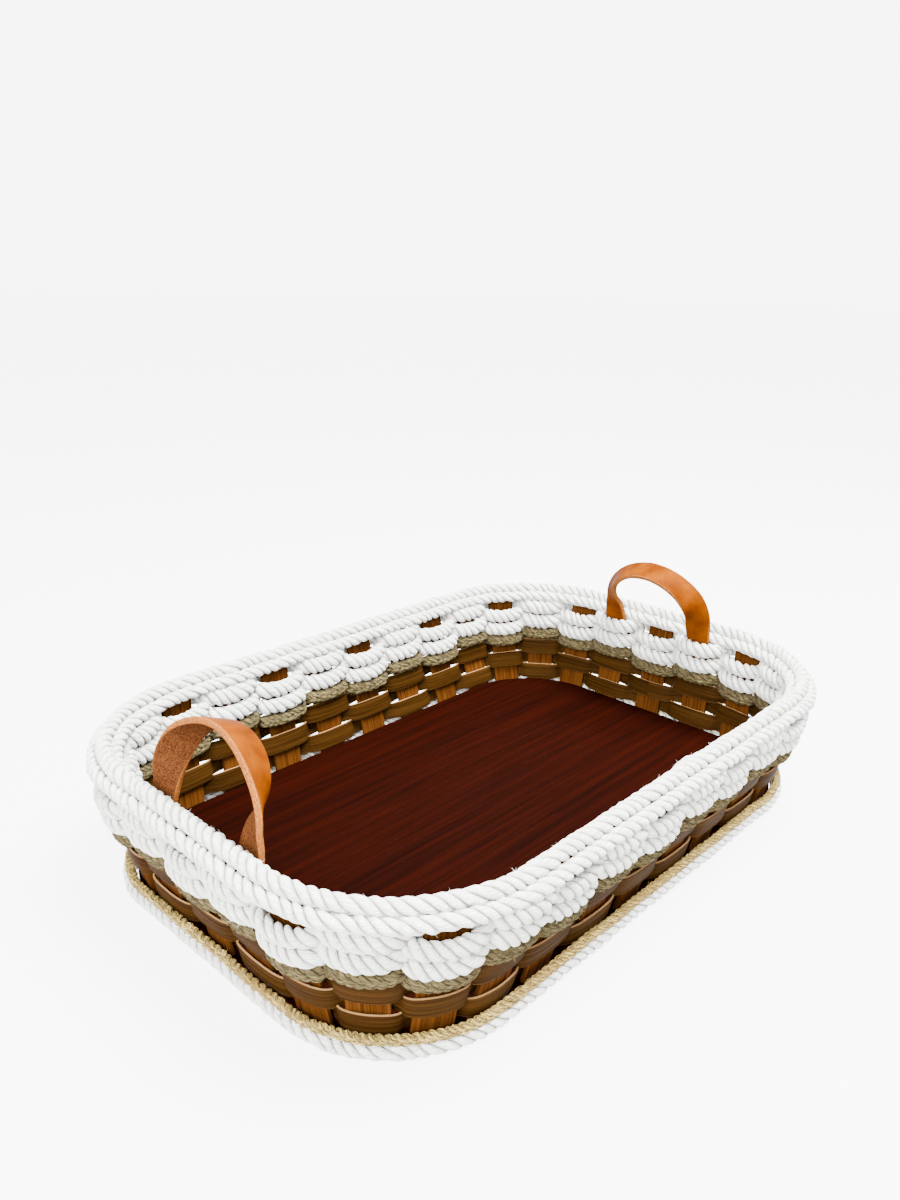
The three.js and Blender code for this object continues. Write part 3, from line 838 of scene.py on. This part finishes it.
def loose_hairs(name, grids, count, material, seed):
    """One mesh of hairs at random points of the ropes' grids, less those that reach the table."""
    random = np.random.default_rng(seed)
    picks = [(grid, *(random.integers(0, size, count) for size in grid.shape[:2])) for grid in grids]
    roots = np.concatenate([grid[rows, columns] for grid, rows, columns in picks])
    outward = unit(roots - np.concatenate([grid[rows].mean(1) for grid, rows, _ in picks]))
    direction = unit(outward + HAIR_SPREAD * random.normal(size=roots.shape))
    bend = unit(random.normal(size=roots.shape))
    length = HAIR_LENGTH * random.uniform(HAIR_SHORTEST, 1, len(roots))[:, None, None]
    s = HAIR_LEVELS[None, :, None]
    curve = s * direction[:, None] + s**2 / 2 * bend[:, None]
    middle = (roots - ROOT_DEPTH * outward)[:, None] + length * curve
    clear = middle[:, :, 2].min(1) > HAIR_CLEARANCE
    side = unit(np.cross(direction[clear], bend[clear]))
    second = unit(np.cross(direction[clear], side))
    angle = 2 * math.pi * np.arange(HAIR_SIDES)[:, None] / HAIR_SIDES
    ring = np.cos(angle) * side[:, None, None] + np.sin(angle) * second[:, None, None]
    thick = HAIR_RADIUS * (1 - HAIR_TAPER * s)[:, :, None]
    points = (middle[clear][:, :, None] + thick * ring).reshape(-1, 3)
    per_hair = len(HAIR_LEVELS) * HAIR_SIDES
    start = (np.arange(clear.sum()) * per_hair)[:, None, None]
    tube = grid_faces(len(HAIR_LEVELS), HAIR_SIDES, False)[:, ::-1]
    quads = (start + tube).reshape(-1, 4)
    ends = np.array([[0, 1, 2], [per_hair - 1, per_hair - 2, per_hair - 3]])
    caps = (start + ends).reshape(-1, 3)
    mesh = bpy.data.meshes.new(name)
    mesh.from_pydata((points * MM).tolist(), [], quads.tolist() + caps.tolist())
    mesh.materials.append(material)
    piece = add_object(name, mesh)
    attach(piece, "basket")
    print(name, clear.sum(), "hairs, volume", round(signed_volume(points, quads), 2), "mm3")


loose_hairs("cotton_lint", cotton_grids, 420, cotton_look, 600)
loose_hairs("seagrass_lint", seagrass_grids, 170, pale_seagrass_look, 610)

# %% [markdown]
# ## Reeds
#
# A reed is a flat strip that is woven like the ropes. Its section is a thin rectangle with rounded
# corners, a little arched, because damp reed cups over a stake. It narrows where it slips between
# two stakes. Grain runs along it, and its cut edges are paler than its faces.

# %% Reed material
CUT_EDGE_SHARE = 0.5

reed_look, tree, shader = new_material("reed")
colour, height = grain_of(
    tree, "reed_place", stretch=(0.01, 0.6, 0.3), light=(0.032, 0.0138, 0.0026, 1),
    dark=(0.0068, 0.0022, 0.0003, 1), pore=(0.0025, 0.0009, 0.0002, 1))
cut_edge = math_node(tree, "MULTIPLY", attribute(tree, "reed_edge"), CUT_EDGE_SHARE)
add_bump(tree, shader, height, 0.00025, 0.4)
set_inputs(tree, shader, {
    "Base Color": mix_colour(tree, cut_edge, colour, (0.4, 0.22, 0.09, 1)),
    "Roughness": map_range(tree, height, -1, 1, 0.6, 0.42), "Specular IOR Level": 0.01})

# %% Sections of flat strips
def strip_section(width, thickness, corner, per_corner, parts):
    """A rectangle with round corners: a across, b through it, as rows of (a, b).

    Each corner is a quarter circle: (half - corner + corner cos t, half - corner + corner sin t).
    The two long sides are cut into parts, so that they can be arched.
    """
    t = np.linspace(0, math.pi / 2, per_corner)
    corners = []
    for k, (sign_a, sign_b) in enumerate(((1, 1), (-1, 1), (-1, -1), (1, -1))):
        angle = t + k * math.pi / 2
        a = sign_a * (width / 2 - corner) + corner * np.cos(angle)
        b = sign_b * (thickness / 2 - corner) + corner * np.sin(angle)
        corners.append(np.stack([a, b], -1))
    steps = np.linspace(0, 1, parts + 1)[1:-1, None]
    top, bottom = (p[-1] + (q[0] - p[-1]) * steps for p, q in (corners[:2], corners[2:]))
    return np.concatenate([corners[0], top, corners[1], corners[2], bottom, corners[3]])


# %% Reed rows
REED_ROW_Z = (18.3, 29.6, 40.9)
REED_PUSH = (3.3, 4, 4)
REED_ON_STRAP = (4, 4)
REED_CUP = 0.35
REED_STEP = 1.6
REED_CORNER = 0.03
REED_UNEVENNESS = 0.015
REED_EDGE_START = 0.478
REED_EDGE_SOFTNESS = 0.02

section_a, section_b = strip_section(1, REED_THICKNESS / REED_WIDTH, REED_CORNER, 3, 8).T
reed_edge = np.clip((np.abs(section_a) - REED_EDGE_START) / REED_EDGE_SOFTNESS, 0, 1)

for row, crossing_z in enumerate(REED_ROW_Z):
    parity = row % 2
    path = woven_path(crossing_z, 0, parity, REED_PUSH[row], REED_ON_STRAP, 400 + row)
    shares, distance, length = even_shares(path, REED_STEP)
    points = path(shares)
    across, upward = path_axes(points, wall_up(shares))
    _, width = woven_size((0, REED_WIDTH), (0, REED_CROSSING_WIDTH))(shares)
    width = width * (1 + REED_UNEVENNESS * ripple(shares, 420 + row, 5, 90))
    stake, x = stake_phase(shares)
    outside = np.where(stake % 2 == parity, -1, 1) * (1 - x**2)
    a = section_a * width[:, None]
    b = np.broadcast_to(section_b * REED_WIDTH, a.shape)
    arch = REED_CUP * outside[:, None] * (1 - (2 * section_a) ** 2)
    grid = sweep(points, a, upward, b + arch, across)
    node = f"reed_row_{row + 1}"
    make_piece(f"{node}_strip", grid, True, reed_look, "reed", [node], reed_edge=reed_edge,
               reed_place=section_place(distance + 400 * row, a, b))
    print(node, round(length), "mm long,", grid[..., 0].size, "points")

# %% [markdown]
# ## Slats and board
#
# The stakes are thin slats of stained wood, with their edges rubbed round. Each one has its own
# tone, kept in an attribute, so the wall doesn't look printed. The board's grain runs lengthwise.

# %% Wood materials
def wood_material(name, light, dark, pore, stretch, roughness, tones):
    """Stained wood: shared grain, each piece a little lighter or darker by its own tone."""
    material, tree, shader = new_material(name)
    colour, height = grain_of(tree, "wood_place", stretch, light, dark, pore)
    tone = map_range(tree, attribute(tree, "tone"), 0, 1, *tones)
    toned = add_node(tree, "ShaderNodeHueSaturation", {"Color": colour, "Value": tone})
    add_bump(tree, shader, height, 0.0002, 0.7)
    set_inputs(tree, shader, {
        "Base Color": toned.outputs["Color"],
        "Roughness": map_range(tree, height, -1, 1, *roughness), "Specular IOR Level": 0.004})
    return material


stake_look = wood_material(
    "stake_wood", light=(0.068, 0.0232, 0.0043, 1), dark=(0.015, 0.004, 0.0008, 1),
    pore=(0.006, 0.0018, 0.0005, 1), stretch=(0.012, 0.7, 0.7), roughness=(0.65, 0.45),
    tones=(0.7, 1.3))
# The board's colour is partly its own dark stain and partly painted shade: it is darkened further to
# stand for the deep shade inside the basket.
board_look = wood_material(
    "board_wood", light=(0.0088, 0.0011, 0.0004, 1), dark=(0.0032, 0.0006, 0.0003, 1),
    pore=(0.0014, 0.0003, 0.0002, 1), stretch=(0.006, 0.22, 0.22), roughness=(0.65, 0.5),
    tones=(0.9, 1.1))

# %% Stakes
SLAT_CORNER = 0.9
section_a, section_b = strip_section(STAKE_WIDTH, STAKE_THICKNESS, SLAT_CORNER, 5, 1).T
slat_levels = np.array([0, 0.01, 0.03, 0.25, 0.5, 0.75, 0.97, 0.99, 1])
slat_taper = np.array([0.94, 0.98, 1, 1, 1, 1, 1, 0.98, 0.94])
slat_random = np.random.default_rng(500)
z = LEDGE_THICKNESS + GAP + slat_levels * (STAKE_TOP - LEDGE_THICKNESS - GAP)
a = section_a * slat_taper[:, None]
b = section_b * slat_taper[:, None]

for stake in range(STAKE_COUNT):
    point, normal = wall_place(np.full(len(z), stake / STAKE_COUNT), z)
    along = np.stack([-normal[:, 1], normal[:, 0], normal[:, 2]], -1)
    make_piece(f"slat_{stake + 1:02d}", sweep(point, a, along, b, normal), False, stake_look,
               "stake_wood", [f"stake_{stake + 1:02d}"], tone=slat_random.uniform(),
               wood_place=section_place(z + 300 * stake, a + 40 * stake, b))
print("slats:", STAKE_COUNT)

# %% Base board
BOARD_SIDE = -STAKE_THICKNESS / 2 - GAP
BOARD_COLUMNS = 240
OUTLINE_LIMIT = -30
OVAL = (1, 0.8, 0)

# Height and offset from the wall's middle: underside, ledge, upright side, top, with rounded edges
board_profile = np.array([
    (0, -150), (0, FOOT_FACE - 2), (0.15, FOOT_FACE - 0.5), (0.8, FOOT_FACE),
    (LEDGE_THICKNESS - 0.8, FOOT_FACE), (LEDGE_THICKNESS, FOOT_FACE - 0.8),
    (LEDGE_THICKNESS, BOARD_SIDE), (BOARD_THICKNESS - 2.5, BOARD_SIDE),
    (BOARD_THICKNESS - 1.2, BOARD_SIDE - 0.35), (BOARD_THICKNESS - 0.35, BOARD_SIDE - 1.2),
    (BOARD_THICKNESS, BOARD_SIDE - 2.5), (BOARD_THICKNESS, -24), (BOARD_THICKNESS, -60),
])

# Each ring is the wall's outline at its height, moved out by its offset. A ring that goes far in
# shrinks towards the middle instead, by (half size + offset) / half size, so that rings stay apart
z, offset = board_profile[:, :1], board_profile[:, 1:]
point, normal = wall_place(np.arange(BOARD_COLUMNS) / BOARD_COLUMNS, z)
half = np.array([*FOOT[:2], 1])
shrunk = point * ((half + offset * OVAL) / half)[:, None]
grid = np.where(offset[..., None] > OUTLINE_LIMIT, point + offset[..., None] * normal, shrunk)
make_piece("floor_board", grid, False, board_look, "board_wood", ["base_board"], tone=0.5,
           wood_place=grid)
print("board:", grid[..., 0].size, "points")

# %% [markdown]
# ## Leather handles
#
# Each handle is one strap. It rises from behind the cotton rows with its flat side to the wall,
# twists slowly by a quarter turn in each leg, and lies flat at the top of the arch. Its smooth
# grain side faces the inside of the basket at both ends and up at the top. The flesh side is brown
# and rough, and the cut edges are pale.
#
# The solids divide the strap where it bends when the handle folds.

# %% Leather material
leather_look, tree, shader = new_material("leather")
strap_place = attribute(tree, "strap_place", "Vector")
flesh = attribute(tree, "flesh")
edge = attribute(tree, "cut_edge")
cloud = map_range(tree, noise(tree, strap_place, 0.09, 3), 0.3, 0.7)
cells = add_node(tree, "ShaderNodeTexVoronoi", {"Vector": strap_place, "Scale": 2.4}, feature="F1")
pore = map_range(tree, cells.outputs["Distance"], 0.05, 0.5)
hair = fibre_mask(tree, strap_place, (1, 1.8, 1.8), 0.14)
grain_colour = mix_colour(tree, cloud, (0.061, 0.0116, 0, 1), (0.116, 0.0275, 0, 1))
flesh_colour = mix_colour(tree, hair, (0.023, 0.0076, 0.0024, 1), (0.1, 0.033, 0.0105, 1))
edge_colour = mix_colour(tree, hair, (0.1, 0.027, 0.005, 1), (0.27, 0.098, 0.024, 1))
colour = mix_colour(tree, flesh, grain_colour, flesh_colour)
rough_share = math_node(tree, "MAXIMUM", flesh, edge)
smooth_height = math_node(tree, "MULTIPLY", pore, math_node(tree, "SUBTRACT", 1, rough_share))
rough_height = math_node(tree, "MULTIPLY", hair, math_node(tree, "MULTIPLY", rough_share, 2.5))
add_bump(tree, shader, math_node(tree, "ADD", smooth_height, rough_height), 0.00012, 0.7)
set_inputs(tree, shader, {
    "Base Color": mix_colour(tree, edge, colour, edge_colour),
    "Roughness": map_range(tree, rough_share, 0, 1, 0.32, 0.85),
    "Specular IOR Level": 0.004})

# %% Strap sizes
ENDS = {1: "right", -1: "left"}
RIVET_Z = {1: 70.4, -1: 64.2}
STRAP_WIDTH = 19
STRAP_THICKNESS = 3.75
STRAP_CORNER = 1.1
STRAP_CROWN = 0.25
STRAP_TAIL = 11
STRAP_TIP = 7
STRAP_BEND_RISE = 4
STRAP_STEP = 1.2
STRAP_SMOOTHING = 6
LEG_SMOOTHING = 4
HINGE_LEAN = math.radians(20)
ARCH_HEIGHT = 39.1
ARCH_LEAN = math.radians(22)
ARCH_ROUNDNESS = 2
ARCH_BULGE = 1.4
ARCH_SHIFT = 1.7
ARCH_OUT = np.array([math.cos(ARCH_LEAN), 0, math.sin(ARCH_LEAN)])
TURN_START = -0.46
TURN_END = 1.08
RIM_TOP = TOP_ROPE_Z + COTTON_DIAMETER / 2
HINGE_Z = RIM_TOP + GAP + STRAP_THICKNESS / 2
STRAP_RIM_X = (RIM_LENGTH / 2 - EDGE_OFFSET - COTTON_DIAMETER / 2 - GAP
               - STRAP_THICKNESS / 2 / math.cos(HINGE_LEAN))
HINGE_X = STRAP_RIM_X - (HINGE_Z - RIM_Z) * math.tan(HINGE_LEAN) + ARCH_SHIFT
FLESH_SOFTNESS = 1.2
CUT_EDGE_WIDTH = 0.75
CUT_EDGE_SOFTNESS = 0.4
print("hinge line:", round(HINGE_X, 2), round(HINGE_Z, 2), "mm")

# %% The strap's path
def strap_y(z):
    """How far a strap's middle is from the basket's middle, which is where its stake stands."""
    return wall_place(1 / STAKE_COUNT, np.minimum(z, RIM_Z))[0][..., 1]


def strap_leg(end):
    """Points up one leg: along the stake, then straight to the rim, then leaning in.

    The bends are softened by a running mean with a bell-shaped window.
    """
    bend = RIVET_Z[end] + STRAP_BEND_RISE
    z = np.linspace(RIVET_Z[end] - STRAP_TAIL, HINGE_Z, 60)
    on_stake = outline(np.array([z[0], bend]))[0] - STAKE_THICKNESS / 2 - GAP - STRAP_THICKNESS / 2
    x = np.interp(z, [z[0], bend, RIM_Z, HINGE_Z], [*on_stake, STRAP_RIM_X, HINGE_X])
    window = np.hanning(2 * LEG_SMOOTHING + 3)[1:-1]
    before = x[0] + (x[0] - x[LEG_SMOOTHING:0:-1])
    after = x[-1] + (x[-1] - x[-2:-2 - LEG_SMOOTHING:-1])
    x = np.convolve(np.concatenate([before, x, after]), window / window.sum(), "valid")
    return np.stack([x, strap_y(z), z], -1)


def strap_path(end):
    """The whole strap: up the back leg, over the arch, and down the front leg.

    The arch is a superellipse in a plane that leans in: height H r up that plane with
    r = sin(t)^(2/n), and W cos(t)^(2/n) along Y, with t from 0 to half a turn. It bulges by
    4 B r (1 - r) half way up. The share that comes back is r on the arch and negative below it.
    """
    leg = strap_leg(end)
    t = np.linspace(0, math.pi, 240)[1:-1]
    power = 2 / ARCH_ROUNDNESS
    r = np.sin(t) ** power
    rise = ARCH_HEIGHT * r
    width = strap_y(HINGE_Z) * np.abs(np.cos(t)) ** power + ARCH_BULGE * 4 * r * (1 - r)
    y = np.sign(np.cos(t)) * width
    x = HINGE_X - rise * math.sin(ARCH_LEAN)
    arch = np.stack([x, y, HINGE_Z + rise * math.cos(ARCH_LEAN)], -1)
    over = np.concatenate([leg, arch, leg[::-1] * [1, -1, 1]])
    leg_share = (leg[:, 2] - HINGE_Z) / ARCH_HEIGHT
    share = np.concatenate([leg_share, r, leg_share[::-1]])
    lengths = lengths_along(over)
    distance = np.linspace(0, lengths[-1], int(lengths[-1] / STRAP_STEP))
    points = np.stack([np.interp(distance, lengths, over[:, k]) for k in range(3)], -1)
    for _ in range(STRAP_SMOOTHING):
        points[1:-1] = (points[:-2] + 2 * points[1:-1] + points[2:]) / 4
    return points, np.interp(distance, lengths, share), distance


def strap_axes(points, rise):
    """Directions across and through the strap.

    They are out cos(turn) + g sin(turn) and g cos(turn) - out sin(turn), where out leaves
    the arch's plane, g is square to out and to the path, and turn eases from a quarter turn at each
    leg to none at the top.
    """
    along = unit(np.gradient(points, axis=0))
    ease = np.clip((rise - TURN_START) / (TURN_END - TURN_START), 0, 1)
    turned = (math.pi / 2 * (1 - ease * ease * (3 - 2 * ease)))[:, None]
    out = unit(ARCH_OUT - (along @ ARCH_OUT)[:, None] * along)
    side = np.cross(along, out)
    return out * np.cos(turned) + side * np.sin(turned), side * np.cos(turned) - out * np.sin(turned)


# %% Straps
section_a, section_b = strip_section(STRAP_WIDTH, STRAP_THICKNESS, STRAP_CORNER, 5, 10).T
crown = STRAP_CROWN * (1 - (2 * section_a / STRAP_WIDTH) ** 2)
flesh_share = np.clip(0.5 - section_b / FLESH_SOFTNESS, 0, 1)
from_edge = np.abs(section_a) - STRAP_WIDTH / 2 + CUT_EDGE_WIDTH
edge_share = np.clip(from_edge / CUT_EDGE_SOFTNESS, 0, 1)

for end, side_name in ENDS.items():
    points, rise, distance = strap_path(end)
    across, face = strap_axes(points, rise)
    from_end = np.minimum(distance, distance[-1] - distance)
    tip = np.sqrt(np.clip(1 - (1 - np.clip(from_end / STRAP_TIP, 0, 1)) ** 2, 0.02, 1))
    uneven = 1 + 0.012 * np.sin(distance / 9 + end) + 0.008 * np.sin(distance / 3.7)
    a = section_a * (tip * uneven)[:, None]
    b = np.broadcast_to(section_b, a.shape)
    grid = sweep(points, a, across, b + crown, face) * [end, 1, 1]
    nodes = [f"{side_name}_handle_{part}" for part in ("loop", "back_foot", "front_foot")]
    piece = make_piece(
        f"{side_name}_handle_strap", grid, False, leather_look, "leather", nodes, body=None,
        strap_place=section_place(distance + 500 * end, a, b), flesh=flesh_share, cut_edge=edge_share)
    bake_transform(piece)
    print(piece.name, round(distance[-1]), "mm long")

# %% [markdown]
# ## Rivets
#
# A rivet holds each end of each strap to its stake. Its profile is turned about its axis: a low
# dome on the leather, a shank through both, and a second dome outside the stake.

# %% Rivet metal
rivet_look, tree, shader = new_material("rivet_metal")
tarnish = map_range(tree, noise(tree, object_place(tree), 900, 4), 0.4, 0.7)
set_inputs(tree, shader, {
    "Base Color": mix_colour(tree, tarnish, (0.55, 0.38, 0.16, 1), (0.3, 0.2, 0.1, 1)),
    "Roughness": map_range(tree, tarnish, 0, 1, 0.28, 0.5), "Metallic": 1})

# %% Rivets
RIVET_SHANK = 2
RIVET_HEAD = 4
RIVET_DOME = 0.9
RIVET_SIDES = 28

# Along the axis and out from it: a dome (cos t, sin t), the head's flat, the shank, and back
t = np.linspace(0.02, math.pi / 2, 7)
inner = -(STAKE_THICKNESS / 2 + GAP + STRAP_THICKNESS)
outer = STAKE_THICKNESS / 2 + GAP
dome = np.stack([RIVET_DOME * np.cos(t), RIVET_HEAD * np.sin(t)], -1)
shank = [[inner, RIVET_SHANK], [outer, RIVET_SHANK]]
profile = np.concatenate([[inner, 0] + dome * [-1, 1], shank, ([outer, 0] + dome)[::-1]])[:, None]

wall_lean = math.atan((RIM_LENGTH - FOOT_LENGTH) / 2 / RIM_Z)
axis = np.array([math.cos(wall_lean), 0, -math.sin(wall_lean)])
lift = np.array([math.sin(wall_lean), 0, math.cos(wall_lean)])
round_it = 2 * math.pi * np.arange(RIVET_SIDES)[:, None] / RIVET_SIDES
ring = np.cos(round_it) * [0, 1, 0] + np.sin(round_it) * lift

for end, side_name in ENDS.items():
    z = RIVET_Z[end]
    for side, place_name in ((1, "back"), (-1, "front")):
        centre = np.array([outline(z)[0], side * strap_y(z), z])
        grid = (centre + profile[..., :1] * axis + profile[..., 1:] * ring) * [end, 1, 1]
        make_piece(f"{side_name}_{place_name}_rivet", grid, False, rivet_look, "leather")
print("rivets:", 2 * len(ENDS))

# %% [markdown]
# ## The floor and the room
#
# The floor is a wide pale sheet under the basket, lit a little from below like a light table. It
# isn't part of the object, so it is marked as stage. The room is a plain pale sky, with no walls to
# model. Both are brighter for the camera than they are as lights, so that they look white and the
# ropes still have shade.

# %% Floor and room
FLOOR_HALF = 20.0
FLOOR_Z = -0.3 * MM
FLOOR_COLOUR = (0.25, 0.25, 0.25, 1)
FLOOR_LIGHT = 2.6
FLOOR_GLOW = 6.3
ROOM_COLOUR = (0.97, 0.98, 1, 1)
ROOM_LIGHT = 2.3
ROOM_GLOW = 7.4


def light_or_glow(tree, light, glow):
    """One strength for the light that falls on the object, another where the camera looks."""
    seen = add_node(tree, "ShaderNodeLightPath", {}).outputs["Is Camera Ray"]
    return map_range(tree, seen, 0, 1, light, glow)


corners = [(x * FLOOR_HALF, y * FLOOR_HALF, FLOOR_Z) for x, y in ((-1, -1), (1, -1), (1, 1), (-1, 1))]
floor_mesh = bpy.data.meshes.new("studio_floor")
floor_mesh.from_pydata(corners, [], [(0, 1, 2, 3)])
floor_look, tree, shader = new_material("studio_floor")
set_inputs(tree, shader, {
    "Base Color": FLOOR_COLOUR, "Roughness": 0.9, "Emission Color": (1, 1, 1, 1),
    "Emission Strength": light_or_glow(tree, FLOOR_LIGHT, FLOOR_GLOW)})
floor_mesh.materials.append(floor_look)
floor = add_object("studio_floor", floor_mesh)
floor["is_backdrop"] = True

world = bpy.data.worlds.new("white_room")
world.use_nodes = True
background = world.node_tree.nodes["Background"]
set_inputs(world.node_tree, background, {
    "Color": ROOM_COLOUR, "Strength": light_or_glow(world.node_tree, ROOM_LIGHT, ROOM_GLOW)})
bpy.context.scene.world = world

# %% [markdown]
# ## Finish
#
# The box of the dressed basket is printed beside the box of the solids.

# %% Print the boxes
visual_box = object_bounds()
for name, (low, high) in (("solids", cad_box), ("dressed", visual_box)):
    print(name, [round(1000 * (h - l), 1) for l, h in zip(low, high)], "mm")
